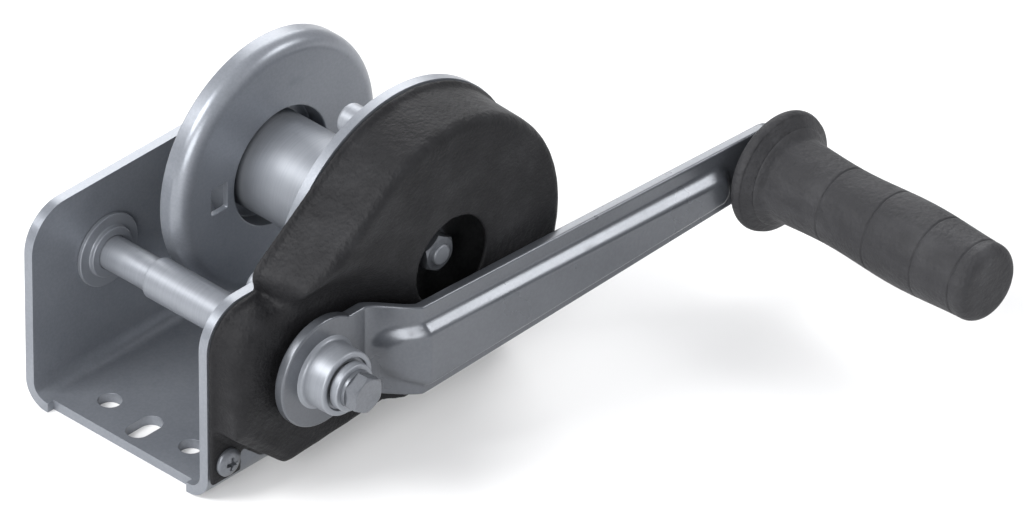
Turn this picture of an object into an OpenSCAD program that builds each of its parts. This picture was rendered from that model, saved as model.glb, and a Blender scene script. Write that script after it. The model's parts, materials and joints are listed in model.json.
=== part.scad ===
// Hand cable winch: a bent steel frame, a drum on a fixed axle, a covered gear pair
// and a cranked handle with a turning grip.
// +X runs to the back of the base, +Y to the side away from the crank.
// The origin is in the middle of the underside of the base.

/* [Frame] */
// Width over the two side plates
frame_w = 92; // [84:1:110]
// Length of the base from front to back
frame_l = 150; // [146:1:170]
// Thickness of the frame's sheet
sheet_t = 4; // [3:0.5:5]
// Height of the side plates at the front
plate_h = 81; // [78:1:88]
// Radius of the plates' upper corners
plate_corner_r = 17; // [8:1:20]
// Outer radius of the two long bends
bend_r = 10; // [7:0.5:12]
// How far the base stops short of the plates' ends
base_setback = 3; // [2:0.5:5]
// Radius of the plate round the drum axle, on the side away from the crank
axle_lobe_r = 15; // [13:0.5:17]
// Radius of the plate round the drum, on the crank side
gear_lobe_r = 59; // [57:0.5:62]

/* [Base holes] */
// Radius of the base's round holes and half the width of its slots
base_hole_r = 4.5; // [3.5:0.25:5.5]
// Distance between the two round holes
base_hole_pitch = 41; // [34:1:46]
// Distance of the round holes from the end of the frame
base_hole_inset = 17; // [14:1:24]
// Distance of the slot's middle from the end of the frame
base_slot_inset = 14; // [13:0.5:20]
// Length of the slot, end to end
base_slot_l = 15.5; // [12:0.5:18]

/* [Crank shaft] */
// Distance of the crank shaft behind the front edge
shaft_x = 37; // [34:0.5:40]
// Height of the crank shaft
shaft_z = 50; // [46:0.5:52]
// Radius of the crank shaft
shaft_r = 6.5; // [5:0.25:7]
// Radius of the sleeve on the shaft
sleeve_r = 8; // [7.75:0.25:9]
// Distance of the sleeve's end from the outside of the far plate
sleeve_start = 30.4; // [24:0.2:40]
// Radius of a bushing's flange
bushing_flange_r = 14.5; // [12:0.5:15]
// Thickness of a bushing's flange
bushing_flange_t = 1.8; // [1.2:0.2:2.4]
// Radius of a bushing's collar
bushing_collar_r = 10; // [9.5:0.25:11]
// Length of a bushing's collar beyond its flange
bushing_collar_l = 1.8; // [1:0.2:2.4]
// Radius of a bushing's barrel
bushing_barrel_r = 9; // [8:0.25:9.25]
// How far the shaft stands out of the far plate
shaft_tail = 5; // [4.5:0.5:8]

/* [Gears] */
// Module of the gear pair
gear_module = 2; // [1.9:0.05:2.05]
// Number of teeth on the pinion
pinion_teeth = 14; // [12:1:15]
// Number of teeth on the drum gear
gear_teeth = 49; // [44:1:50]
// Pressure angle of the teeth
pressure_angle = 25; // [22:1:27]
// Slope of the line from the shaft up to the drum axle
gear_slope = 19.5; // [18:0.1:26]
// Tooth backlash, along the pitch circle
backlash = 0.3; // [0.2:0.05:0.5]
// Face width of the gears
gear_face = 9; // [7:0.5:10]
// Distance between the crank-side plate and the gears
gear_gap = 2; // [1:0.25:3]

/* [Drum] */
// Radius of the pressed drum flange
flange_r = 51; // [46:0.5:52]
// Thickness of the flange's sheet
flange_t = 2.5; // [2:0.25:3]
// Outer radius of the flange's curled edge
flange_curl_r = 6; // [4:0.5:7]
// Depth of the flange's rim
flange_depth = 10.5; // [9:0.5:12]
// Distance of the flange's face from the outside of the far plate
flange_w = 33.6; // [32:0.2:38]
// Radius of the pressed cup round the drum's core
cup_r = 23.5; // [21.5:0.5:25]
// Radius of the drum's core
core_r = 19.5; // [17:0.5:20.5]
// Wall of the drum's core
core_wall = 4; // [3:0.5:5]
// Radius of the drum's disc beside the gear-side plate
disc_r = 38; // [34:0.5:39]
// Distance of that disc from the crank-side plate
disc_gap = 5; // [5:0.5:8]
// Radius of the drum's hub where it passes the plate
drum_hub_r = 12; // [11:0.5:13]
// Radius of the drum axle
axle_r = 6; // [5:0.25:6.5]
// Width of the rope hole in the flange
rope_hole_w = 8; // [6:0.5:9]
// Height of the rope hole in the flange
rope_hole_h = 11; // [8:0.5:12]
// Distance of the rope hole from the drum axle
rope_hole_reach = 31; // [30:0.5:34]

/* [Gear cover] */
// Thickness of the moulded cover
cover_wall = 2.5; // [2:0.25:3]
// Height of the cover over the crank shaft
cover_low_h = 15; // [14.5:0.5:17]
// Height of the cover over the drum gear
cover_high_h = 28; // [26:0.5:29]
// How much the high part leans in from back to front
cover_lean = 1; // [0.5:0.25:2]
// Radius of the cover's front edges
cover_edge_r = 4; // [2.5:0.25:4.5]
// Height of the cover's lower edge over the crank shaft
cover_foot_z = 9; // [7:0.5:10]
// Height of the lower edge of the cover's high part
cover_high_z = 22; // [20:0.5:24]
// Radius of the hollow round the crank hub, at its floor
hollow_r = 30; // [28:0.5:31]
// Radius of the hole over the axle nut
nut_hole_r = 17.5; // [15:0.5:19]
// Thickness of the cover's foot
foot_t = 2.5; // [2:0.25:3]
// Distance of a foot screw from the frame's end
foot_screw_inset = 7.5; // [6.5:0.5:9]
// Height of a foot screw
foot_screw_z = 16; // [15:0.5:18]
// Radius of a foot screw's head
screw_head_r = 5.5; // [4.5:0.25:6]

/* [Crank] */
// Distance of the crank's sheet from the outside of the cover over the shaft
crank_gap = 3.5; // [3:0.25:4.5]
// Thickness of the crank's sheet
crank_t = 4.2; // [3.5:0.1:5]
// Radius of the crank's disc
crank_disc_r = 21.8; // [20:0.2:24]
// Distance from the crank shaft to the grip
crank_reach = 209; // [190:1:230]
// How far the grip lies below the crank shaft
grip_drop = 5; // [3:0.5:7]
// Sideways offset of the arm
crank_offset = 14.5; // [14:0.1:16]
// Where the offset starts, from the crank shaft
offset_start = 22; // [21:0.5:26]
// Height of the arm above the shaft at its root
arm_up_root = 14.7; // [12:0.1:17]
// Depth of the arm below the shaft at its root
arm_down_root = 22.3; // [20:0.1:24]
// Half the height of the arm at its tip
arm_tip_r = 12.5; // [11:0.5:14]
// Height of the arm's raised panel
panel_t = 2; // [1:0.25:2.5]
// Margin between the arm's edge and its raised panel
panel_margin = 6; // [5:0.5:7]
// Radius of the crank hub
hub_r = 12.8; // [12:0.1:14]
// Length of the crank hub beyond the disc
hub_l = 11; // [9:0.5:13]
// Radius of the ring on the hub's end
ring_r = 9.3; // [8.5:0.1:10]
// Thickness of the ring on the hub's end
ring_t = 3.6; // [2.5:0.1:4]
// Distance across the flats of the M8 bolt and nut
hex_af = 13; // [12:0.5:14]
// Thickness of the bolt's head
bolt_head_t = 5.3; // [4.5:0.1:6]
// Thickness of a washer
washer_t = 1.8; // [1.4:0.1:2.4]

/* [Grip] */
// Radius of the grip
grip_r = 15.6; // [14:0.2:17]
// Radius of the grip's guard
guard_r = 23; // [21:0.5:25]
// Thickness of the grip's guard
guard_t = 3.2; // [2.4:0.2:4]
// Distance from the arm to the guard
guard_gap = 6; // [5:0.5:8]
// Length of the grip beyond its guard
grip_l = 104; // [95:1:115]
// Spacing of the grip's shallow grooves
groove_pitch = 23.5; // [20:0.5:24]
// Depth of the grooves
groove_d = 0.8; // [0.4:0.1:1.2]
// Radius of the pin in the grip
grip_pin_r = 5; // [4:0.25:6]

/* [Fits] */
// Radial running clearance of a shaft in its bore
run_gap = 0.06; // [0.03:0.01:0.1]
// Clearance between faces that turn past each other
face_gap = 0.3; // [0.2:0.05:0.5]

/* [Hidden] */
$fn = 64;
joint_overlap = 0.01;

near_in = frame_w - sheet_t;
centre_distance = gear_module * (pinion_teeth + gear_teeth) / 2;
drum_x = shaft_x + centre_distance * cos(gear_slope);
drum_z = shaft_z + centre_distance * sin(gear_slope);
bolt_r = 4;
stud_r = 6;
stud_l = 8;
stud_z = shaft_z + bushing_flange_r + stud_r + 1.5;
bend_relief = 1;
guard_stud_reach = 51;
guard_stud_angle = 104.5;

gear_w = frame_w + gear_gap;
gear_end = gear_w + gear_face;
disc_w = near_in - disc_gap - flange_t;
cup_depth = flange_depth - flange_t;
spacer_w = flange_w - flange_depth;
nut_t = 6.5;
gear_boss_t = 2;
washer_w = gear_end + gear_boss_t + face_gap;
nut_w = washer_w + washer_t;

cover_low_w = frame_w + cover_low_h;
cover_high_w = frame_w + cover_high_h;
lip_inset = 1.5;
low_step = 1;
cover_root = 5;
beak = [22, 94];
beak_r = 7.5;
hollow_slope = 1;

arm_in = cover_low_w + crank_gap;
arm_out = arm_in + crank_t;
far_arm_in = arm_in + crank_offset;
far_arm_out = arm_out + crank_offset;
hub_end = arm_out + hub_l;
ring_end = hub_end + ring_t;
head_w = ring_end + washer_t;
grip_x = shaft_x + crank_reach;
grip_z = shaft_z - grip_drop;
guard_w = far_arm_out + guard_gap;
grip_end = guard_w + guard_t + grip_l;

// Stands a drawing in x and z on end, at a distance from the far plate's outside
module at(w)
    translate([-frame_l / 2, frame_w / 2 - w, 0]) rotate([90, 0, 0]) children();
module at_shaft(w) at(w) translate([shaft_x, shaft_z]) children();
module at_drum(w) at(w) translate([drum_x, drum_z]) children();
module at_grip(w) at(w) translate([grip_x, grip_z]) children();

module ring(outer, inner, h) {
    difference() {
        cylinder(r = outer, h = h);
        translate([0, 0, -1]) cylinder(r = inner, h = h + 2);
    }
}

module hex(af, h) cylinder(r = af / 2 / cos(30), h = h, $fn = 6);

// The outline shared by both side plates, with rounded upper corners
module plate_outline(length, low, high, corner) {
    translate([0, low]) square([length, high - corner - low]);
    translate([corner, low]) square([length - 2 * corner, high - low]);
    for (x = [corner, length - corner])
        translate([x, high - corner]) circle(corner);
}

// The sheet's section across the base, both bends and both sides
module channel_section() {
    inner_r = bend_r - sheet_t;
    leg = 2 * plate_h;
    difference() {
        union() {
            translate([bend_r, 0]) square([frame_w - 2 * bend_r, bend_r]);
            translate([0, bend_r]) square([frame_w, leg]);
            for (x = [bend_r, frame_w - bend_r]) translate([x, bend_r]) circle(bend_r);
        }
        translate([bend_r, sheet_t]) square([frame_w - 2 * bend_r, bend_r]);
        translate([sheet_t, bend_r]) square([frame_w - 2 * sheet_t, leg + 1]);
        for (x = [bend_r, frame_w - bend_r]) translate([x, bend_r]) circle(inner_r);
    }
}

// The bent sheet with nothing cut to length or height
module bent_sheet() {
    translate([-frame_l, -frame_w / 2, 0]) rotate([90, 0, 90])
        linear_extrude(2 * frame_l) channel_section();
}

module far_plate() {
    difference() {
        union() {
            plate_outline(frame_l, -1, plate_h, plate_corner_r);
            translate([drum_x, drum_z]) circle(axle_lobe_r);
        }
        translate([shaft_x, shaft_z]) circle(bushing_barrel_r);
        translate([drum_x, drum_z]) circle(axle_r);
    }
}

module near_plate() {
    difference() {
        union() {
            plate_outline(frame_l, -1, plate_h, plate_corner_r);
            translate([drum_x, drum_z]) circle(gear_lobe_r, $fn = 128);
        }
        translate([shaft_x, shaft_z]) circle(bushing_barrel_r);
        translate([drum_x, drum_z]) circle(drum_hub_r + run_gap);
    }
}

// Round holes and a slot at the back end of the base
module base_holes() {
    slot_half = base_slot_l / 2 - base_hole_r;
    for (side = [-1, 1])
        translate([frame_l / 2 - base_hole_inset, side * base_hole_pitch / 2, -1])
            cylinder(r = base_hole_r, h = sheet_t + 2);
    translate([frame_l / 2 - base_slot_inset, 0, -1]) {
        for (side = [-1, 1])
            translate([side * slot_half, 0, 0]) cylinder(r = base_hole_r, h = sheet_t + 2);
        translate([-slot_half, -base_hole_r, 0])
            cube([2 * slot_half, 2 * base_hole_r, sheet_t + 2]);
    }
}

module frame() {
    color([0.56, 0.58, 0.61]) difference() {
        union() {
            intersection() {
                bent_sheet();
                at(-1) linear_extrude(frame_w / 2 + 1) far_plate();
            }
            intersection() {
                bent_sheet();
                at(frame_w / 2) linear_extrude(frame_w / 2 + 1) near_plate();
            }
        }
        for (side = [0, 1]) mirror([side, 0, 0]) {
            translate([frame_l / 2 - base_setback, -frame_w / 2 + bend_r + bend_relief, -1])
                cube([base_setback + 1, frame_w - 2 * (bend_r + bend_relief), sheet_t + 2]);
            base_holes();
        }
    }
}

// A bushing's profile: barrel in the plate, flange on its inner face, raised collar
module bushing() {
    difference() {
        union() {
            translate([0, 0, -sheet_t]) cylinder(r = bushing_barrel_r, h = sheet_t + 0.5);
            cylinder(r = bushing_flange_r, h = bushing_flange_t);
            cylinder(r = bushing_collar_r, h = bushing_flange_t + bushing_collar_l);
        }
        translate([0, 0, -sheet_t - 1])
            cylinder(r = shaft_r + run_gap, h = sheet_t + bushing_collar_l + 5);
    }
}

module shaft_bushing_far() color([0.62, 0.64, 0.67]) at_shaft(sheet_t) bushing();

module shaft_bushing_near()
    color([0.62, 0.64, 0.67]) at_shaft(near_in) mirror([0, 0, 1]) bushing();

module stud() {
    color([0.66, 0.67, 0.69]) rotate_extrude() {
        square([stud_r, stud_l - 1.5]);
        square([stud_r - 1.5, stud_l]);
        translate([stud_r - 1.5, stud_l - 1.5]) circle(1.5, $fn = 24);
    }
}

module pawl_stud() at(near_in) translate([shaft_x, stud_z]) mirror([0, 0, 1]) stud();

module guard_stud()
    at_drum(near_in) rotate([0, 0, guard_stud_angle]) translate([guard_stud_reach, 0])
        mirror([0, 0, 1]) stud();

// The fixed axle: a head outside the far plate, a shank and a threaded end for the nut
module drum_axle() {
    head_t = 6;
    color([0.64, 0.65, 0.67]) {
        at_drum(-head_t) hex(hex_af * 1.3, head_t);
        at_drum(-joint_overlap) cylinder(r = axle_r, h = washer_w + joint_overlap);
        at_drum(washer_w - joint_overlap)
            cylinder(r = bolt_r, h = washer_t + nut_t + 1.2 + joint_overlap);
    }
}

module axle_spacer()
    color([0.6, 0.61, 0.63]) at_drum(sheet_t) ring(axle_r + 3, axle_r, spacer_w - sheet_t - face_gap);

module axle_washer() color([0.66, 0.67, 0.69]) at_drum(washer_w) ring(9, bolt_r, washer_t);

module axle_nut() {
    color([0.68, 0.7, 0.72]) at_drum(nut_w) difference() {
        hex(hex_af, nut_t);
        translate([0, 0, -1]) cylinder(r = bolt_r, h = nut_t + 2);
    }
}

// Pressed flange: curled rim, flat face and a cup that seats the core
module flange_section() {
    curl_c = [flange_r - flange_curl_r, flange_w - flange_curl_r];
    translate([flange_r - flange_t, flange_w - flange_depth])
        square([flange_t, flange_depth - flange_curl_r]);
    intersection() {
        translate(curl_c) difference() {
            circle(flange_curl_r);
            circle(flange_curl_r - flange_t);
        }
        translate(curl_c) square(flange_curl_r + 1);
    }
    translate([cup_r, flange_w - flange_t]) square([curl_c.x - cup_r, flange_t]);
    translate([cup_r, flange_w - flange_depth]) square([flange_t, flange_depth]);
    translate([axle_r + run_gap, flange_w - flange_depth])
        square([cup_r - axle_r - run_gap + 0.5, flange_t]);
}

module drum_flange() {
    color([0.58, 0.6, 0.63]) difference() {
        at_drum(0) rotate_extrude($fn = 128) flange_section();
        at_drum(flange_w - flange_t - 1) translate([-rope_hole_reach, 0.5])
            translate([-rope_hole_w / 2, -rope_hole_h / 2])
                cube([rope_hole_w, rope_hole_h, flange_t + 2]);
    }
}

module drum_core() {
    start = flange_w - cup_depth;
    color([0.68, 0.69, 0.71])
        at_drum(start) ring(core_r, core_r - core_wall, disc_w - start);
}

module drum_disc()
    color([0.56, 0.58, 0.61]) at_drum(disc_w) ring(disc_r, axle_r + run_gap, flange_t);

// Involute flank: the half angle that a tooth spans at radius r
function involute(angle) = tan(angle) * 180 / PI - angle;
function flank(r, base_r, half) =
    half + involute(pressure_angle) - (r > base_r ? involute(acos(base_r / r)) : 0);

module gear_outline(teeth) {
    pitch_r = gear_module * teeth / 2;
    base_r = pitch_r * cos(pressure_angle);
    root_r = pitch_r - 1.25 * gear_module;
    tip_r = pitch_r + gear_module;
    half = 90 / teeth - backlash / 4 / pitch_r * 180 / PI;
    start_r = max(root_r, base_r);
    radii = [root_r, for (k = [0:3]) start_r + (tip_r - start_r) * k / 3 + 0.001];
    polygon([for (i = [0:teeth - 1]) each concat(
        [for (k = [0:4]) let(a = i * 360 / teeth - flank(radii[k], base_r, half))
            radii[k] * [cos(a), sin(a)]],
        [for (k = [4:-1:0]) let(a = i * 360 / teeth + flank(radii[k], base_r, half))
            radii[k] * [cos(a), sin(a)]])]);
}

// The drum gear, with the hub that passes the plate and carries the drum's disc
module drum_gear() {
    color([0.5, 0.52, 0.55]) difference() {
        union() {
            at_drum(gear_w) linear_extrude(gear_face) rotate(180 + gear_slope)
                gear_outline(gear_teeth);
            at_drum(disc_w + flange_t)
                cylinder(r = drum_hub_r, h = gear_end + gear_boss_t - disc_w - flange_t);
        }
        at_drum(disc_w) cylinder(r = axle_r + run_gap, h = gear_end - disc_w + 5);
    }
}

module pinion() {
    color([0.5, 0.52, 0.55]) at_shaft(gear_w) difference() {
        linear_extrude(gear_face) rotate(gear_slope + 180 / pinion_teeth)
            gear_outline(pinion_teeth);
        translate([0, 0, -1]) cylinder(r = shaft_r, h = gear_face + 2);
    }
}

module crank_shaft() {
    color([0.66, 0.68, 0.7]) difference() {
        at_shaft(-shaft_tail) cylinder(r = shaft_r, h = shaft_tail + hub_end);
        at_shaft(arm_in) cylinder(r = bolt_r, h = hub_end - arm_in + 1);
    }
}

module shaft_circlip()
    color([0.45, 0.46, 0.48]) at_shaft(-face_gap - 1.5) ring(shaft_r + 3, shaft_r, 1.5);

module shaft_sleeve() {
    end_w = near_in - bushing_flange_t - bushing_collar_l - face_gap;
    color([0.72, 0.73, 0.75])
        at_shaft(sleeve_start) ring(sleeve_r, shaft_r, end_w - sleeve_start);
}

// The cover's low outline: the plate's front corner joined to the gear's circle
module low_outline(inset) {
    foot_cut = 25 + inset;
    gear_r = gear_lobe_r - low_step - inset;
    polygon([[inset, foot_cut + 6], [foot_cut, cover_foot_z + inset], [drum_x, drum_z - gear_r],
        [drum_x, plate_h - inset], [plate_corner_r, plate_h - inset],
        [inset, plate_h - plate_corner_r]]);
    translate([plate_corner_r, plate_h - plate_corner_r]) circle(plate_corner_r - inset);
    translate([drum_x, drum_z]) circle(gear_r, $fn = 96);
}

// A round boss whose side leans in and whose outer edge is rounded
module soft_boss(r, h, lean, edge) {
    top_r = r - lean - edge;
    rotate_extrude($fn = 48) {
        polygon([[0, 0], [r, 0], [r - lean, h - edge], [0, h - edge]]);
        translate([top_r, h - edge]) intersection() {
            circle(edge, $fn = 32);
            square(edge + 1);
        }
        square([top_r, h]);
    }
}

// The cover's high part: the gear's circle drawn out to a beak over the plate
module high_body(inset, h, lean, edge) {
    shift = max(inset - lip_inset, 0);
    corner_r = beak_r - min(inset, lip_inset);
    intersection() {
        at(frame_w - cover_root - shift) hull() {
            translate([drum_x, drum_z]) soft_boss(gear_lobe_r - inset, h, lean, edge);
            translate([beak.x + beak_r + 2 * shift, beak.y - beak_r])
                soft_boss(corner_r, h, lean, edge);
            translate([drum_x - gear_lobe_r + 2 * beak_r + shift, cover_high_z + beak_r])
                soft_boss(corner_r, h, lean, edge);
        }
        translate([-frame_l, -frame_w * 1.5, cover_high_z + inset])
            cube([frame_l * 2, frame_w * 1.5, 200]);
    }
}

// One cover body grown inwards by a wall: low part, high part and the hub's hollow
module cover_body(wall) {
    low_top = cover_low_h - wall;
    high_top = cover_high_h - wall;
    root = cover_root + wall;
    difference() {
        union() {
            at(frame_w - root) {
                linear_extrude(root + low_top - cover_edge_r / 2) low_outline(lip_inset + wall);
                linear_extrude(root + low_top) low_outline(lip_inset + wall + cover_edge_r / 2);
            }
            high_body(lip_inset + wall, root + high_top, cover_lean, cover_edge_r);
        }
        at_shaft(frame_w + low_top)
            cylinder(r1 = hollow_r + wall, r2 = hollow_r + wall + hollow_slope * 40, h = 40);
    }
}

// A foot round a screw, with a tongue that runs up to the cover at an angle
module cover_foot(x, angle)
    translate([x, foot_screw_z]) {
        circle(foot_screw_inset);
        translate([-foot_screw_inset, -foot_screw_inset])
            square([2 * foot_screw_inset, foot_screw_inset]);
        rotate(angle) translate([0, -foot_screw_inset])
            square([gear_lobe_r / 2, 2 * foot_screw_inset]);
    }

module gear_cover() {
    color([0.16, 0.16, 0.17]) difference() {
        union() {
            cover_body(0);
            at(frame_w - cover_root) linear_extrude(cover_root + foot_t) {
                cover_foot(foot_screw_inset, 90);
                cover_foot(frame_l - foot_screw_inset,
                    atan2(drum_z - foot_screw_z, drum_x - frame_l + foot_screw_inset));
                low_outline(0);
            }
            high_body(0, cover_root + foot_t, 0, foot_t / 5);
        }
        cover_body(cover_wall);
        at(frame_w - 4 * cover_root) translate([-frame_l, -frame_l])
            cube([3 * frame_l, 3 * frame_l, 4 * cover_root]);
        at_drum(frame_w) cylinder(r = nut_hole_r, h = cover_high_h + 1);
        at_shaft(frame_w) cylinder(r = shaft_r + 7.5, h = cover_low_h + 1);
        for (x = [foot_screw_inset, frame_l - foot_screw_inset])
            at(frame_w) translate([x, foot_screw_z, -1]) cylinder(r = 2.5, h = foot_t + 2);
    }
}

// A pan head screw through the cover's foot, into the plate
module cover_screw(x) {
    color([0.7, 0.71, 0.73]) at(frame_w + foot_t) translate([x, foot_screw_z]) {
        rotate_extrude() intersection() {
            translate([0, -screw_head_r * 1.2]) circle(screw_head_r * 1.2 + 2.6);
            square([screw_head_r, 3]);
        }
        translate([0, 0, -foot_t]) cylinder(r = 2.4, h = foot_t + 0.5);
    }
}

module cover_screw_front() cover_screw(foot_screw_inset);
module cover_screw_back() cover_screw(frame_l - foot_screw_inset);

// The arm's sheet seen from above: flat at the hub, offset outwards, flat again
module arm_section() {
    offset_end = offset_start + crank_offset;
    bend = crank_t * tan(22.5);
    polygon([[-crank_disc_r - 1, 0], [offset_start + bend, 0], [offset_end + bend, crank_offset],
        [crank_reach + 30, crank_offset], [crank_reach + 30, crank_offset + crank_t],
        [offset_end, crank_offset + crank_t], [offset_start, crank_t],
        [-crank_disc_r - 1, crank_t]]);
}

// The arm seen from the side: a disc, a tapered arm and a round tip
module arm_outline() {
    root_x = offset_start + crank_offset;
    difference() {
        union() {
            circle(crank_disc_r, $fn = 96);
            polygon([[0, crank_disc_r - 2], [root_x - 14, arm_up_root + 1.5],
                [root_x, arm_up_root], [crank_reach, arm_tip_r - grip_drop],
                [crank_reach, -arm_tip_r - grip_drop], [root_x, -arm_down_root],
                [8, -crank_disc_r + 1.5], [0, -crank_disc_r + 2]]);
            translate([crank_reach, -grip_drop]) circle(arm_tip_r);
        }
        circle(hub_r - 2);
    }
}

// The raised panel: a tapered outline with rounded ends, inset by a margin
module panel_outline(margin) {
    root_x = offset_start + crank_offset + 2;
    root_r = (arm_up_root + arm_down_root) / 2 - margin;
    tip_r = arm_tip_r - margin;
    tip_x = crank_reach - arm_tip_r - 14;
    mid_z = (arm_up_root - arm_down_root) / 2;
    hull() {
        for (side = [-1, 1]) translate([root_x + 8, mid_z + side * (root_r - 5)]) circle(5);
        for (side = [-1, 1])
            translate([tip_x, -grip_drop + side * (tip_r - 3)]) circle(3);
    }
}

module crank_arm() {
    color([0.62, 0.64, 0.67]) at_shaft(arm_in) difference() {
        union() {
            intersection() {
                linear_extrude(crank_offset + crank_t) arm_outline();
                rotate([-90, 0, 0]) mirror([0, 1, 0])
                    translate([0, 0, -60]) linear_extrude(120) arm_section();
            }
            translate([0, 0, crank_offset + crank_t - joint_overlap]) hull() {
                linear_extrude(0.1) panel_outline(panel_margin);
                translate([0, 0, panel_t - 0.1]) linear_extrude(0.1)
                    panel_outline(panel_margin + panel_t);
            }
        }
        translate([crank_reach, -grip_drop, crank_offset - 1])
            cylinder(r = grip_pin_r, h = crank_t + 2);
    }
}

module crank_hub() {
    neck_r = shaft_r + 2.5;
    color([0.66, 0.68, 0.7]) difference() {
        union() {
            at_shaft(gear_end + face_gap) cylinder(r = neck_r, h = arm_in - gear_end);
            at_shaft(arm_in) cylinder(r = hub_r - 2, h = crank_t + 1);
            at_shaft(arm_out) cylinder(r1 = hub_r + 0.6, r2 = hub_r - 0.6, h = hub_l);
        }
        at_shaft(gear_end) cylinder(r = shaft_r, h = hub_end);
        at_shaft(hub_end - 1.6) ring(hub_r - 1.6, ring_r, 3);
    }
}

module hub_ring() color([0.7, 0.71, 0.73]) at_shaft(hub_end) ring(ring_r, bolt_r, ring_t);

module spring_washer()
    color([0.55, 0.56, 0.58]) at_shaft(ring_end) ring(hex_af / 2 + 1, bolt_r, washer_t);

module crank_bolt() {
    color([0.72, 0.73, 0.75]) {
        at_shaft(head_w) hex(hex_af, bolt_head_t);
        at_shaft(arm_in + 2) cylinder(r = bolt_r, h = head_w - arm_in - 2 + joint_overlap);
    }
}

module grip_pin() {
    color([0.6, 0.61, 0.63]) {
        at_grip(far_arm_in - 2.5) cylinder(r = grip_pin_r + 2.5, h = 2.5);
        at_grip(far_arm_in - joint_overlap)
            cylinder(r = grip_pin_r, h = grip_end - 12 - far_arm_in);
    }
}

module grip_washer()
    color([0.66, 0.67, 0.69]) at_grip(far_arm_out) ring(grip_pin_r + 5, grip_pin_r, washer_t);

// The moulded grip: neck, guard, flared root, barrel with shallow grooves, round end
module grip_section() {
    start = far_arm_out + washer_t + face_gap;
    root = guard_w + guard_t;
    end_r = 4;
    grooves = [for (k = [1:3]) root + k * groove_pitch + 5, grip_end - 9.5];
    difference() {
        union() {
            translate([0, start]) square([grip_r - 3, root - start]);
            translate([0, guard_w]) square([guard_r - guard_t / 2, guard_t]);
            translate([guard_r - guard_t / 2, guard_w + guard_t / 2]) circle(guard_t / 2, $fn = 24);
            polygon([[0, root - 0.1], [grip_r + 4, root - 0.1], [grip_r + 1.4, root + 2],
                [grip_r, root + 6], [grip_r - 0.8, root + 14], [grip_r, root + 36],
                [grip_r + 0.4, root + 60], [grip_r, grip_end - 10], [grip_r - 1, grip_end - end_r],
                [0, grip_end - end_r]]);
            translate([0, grip_end - end_r - 0.1]) square([grip_r - 1 - end_r, end_r + 0.1]);
            translate([grip_r - 1 - end_r, grip_end - end_r]) circle(end_r);
        }
        for (g = grooves) translate([grip_r + 0.2, g]) circle(groove_d, $fn = 16);
        translate([-grip_r * 2, 0]) square([grip_r * 2, grip_end + 10]);
        translate([-1, start - 1])
            square([grip_pin_r + run_gap + 1, grip_end - 12 + face_gap - start + 1]);
    }
}

module grip() color([0.15, 0.15, 0.16]) at_grip(0) rotate_extrude($fn = 96) grip_section();

frame();
shaft_bushing_far();
shaft_bushing_near();
pawl_stud();
guard_stud();
drum_axle();
axle_spacer();
axle_washer();
axle_nut();
gear_cover();
cover_screw_front();
cover_screw_back();
drum_flange();
drum_core();
drum_disc();
drum_gear();
crank_shaft();
shaft_circlip();
shaft_sleeve();
pinion();
crank_arm();
crank_hub();
hub_ring();
spring_washer();
crank_bolt();
grip_pin();
grip_washer();
grip();
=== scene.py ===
import json
import math

import bmesh
import bpy
import numpy as np
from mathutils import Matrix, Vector


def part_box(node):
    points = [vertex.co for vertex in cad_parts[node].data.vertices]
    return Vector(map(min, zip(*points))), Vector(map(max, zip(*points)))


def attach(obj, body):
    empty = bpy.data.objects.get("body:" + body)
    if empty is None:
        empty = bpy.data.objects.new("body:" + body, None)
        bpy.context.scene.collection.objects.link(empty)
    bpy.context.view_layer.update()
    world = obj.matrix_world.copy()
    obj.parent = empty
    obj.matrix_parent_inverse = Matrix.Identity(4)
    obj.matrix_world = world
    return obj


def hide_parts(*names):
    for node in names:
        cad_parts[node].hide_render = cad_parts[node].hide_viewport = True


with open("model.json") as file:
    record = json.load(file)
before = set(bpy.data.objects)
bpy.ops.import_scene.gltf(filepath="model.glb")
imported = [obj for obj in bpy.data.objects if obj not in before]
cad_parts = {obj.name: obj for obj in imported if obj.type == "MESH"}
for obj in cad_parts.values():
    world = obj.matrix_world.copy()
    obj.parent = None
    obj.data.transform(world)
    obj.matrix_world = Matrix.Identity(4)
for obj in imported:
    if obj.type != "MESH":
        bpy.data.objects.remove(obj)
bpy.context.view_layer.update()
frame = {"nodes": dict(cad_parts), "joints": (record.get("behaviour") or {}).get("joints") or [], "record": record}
nodes = frame["nodes"]
joints = {joint["name"]: Vector(joint["pos_m"]) for joint in frame["joints"]}
shaft = joints["crank_spin"]
axle = joints["drum_spin"]
gripAxis = joints["grip_spin"]
mm = 0.001
alongZ, alongCrank = Vector((0, 0, 1)), Vector((0, -1, 0))
print("frame loaded:", len(nodes), "nodes")


# camera, floor and light

stageSizes = {"target": (0.0601, -0.0657, 0.050), "azimuth": -45.75, "elevation": 34.7,
              "distance": 8.0, "lens": 785.2, "floorSize": 60.0}


def makeCamera(cfg):
    target = Vector(cfg["target"])
    az, el = math.radians(cfg["azimuth"]), math.radians(cfg["elevation"])
    back = Vector((math.sin(az) * math.cos(el), -math.cos(az) * math.cos(el), math.sin(el)))
    data = bpy.data.cameras.new("camera")
    data.lens = cfg["lens"]
    data.clip_end = 100
    camera = bpy.data.objects.new("camera", data)
    camera.location = target + back * cfg["distance"]
    camera.rotation_mode = "QUATERNION"
    camera.rotation_quaternion = (-back).to_track_quat("-Z", "Y")
    bpy.context.scene.collection.objects.link(camera)
    bpy.context.scene.camera = camera


def addLamp(name, place, size, power):
    data = bpy.data.lights.new(name, "AREA")
    data.size = size
    data.energy = power
    lamp = bpy.data.objects.new(name, data)
    lamp.location = place
    lamp.rotation_mode = "QUATERNION"
    aim = Vector(stageSizes["target"]) - Vector(place)
    lamp.rotation_quaternion = aim.to_track_quat("-Z", "Y")
    bpy.context.scene.collection.objects.link(lamp)


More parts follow.
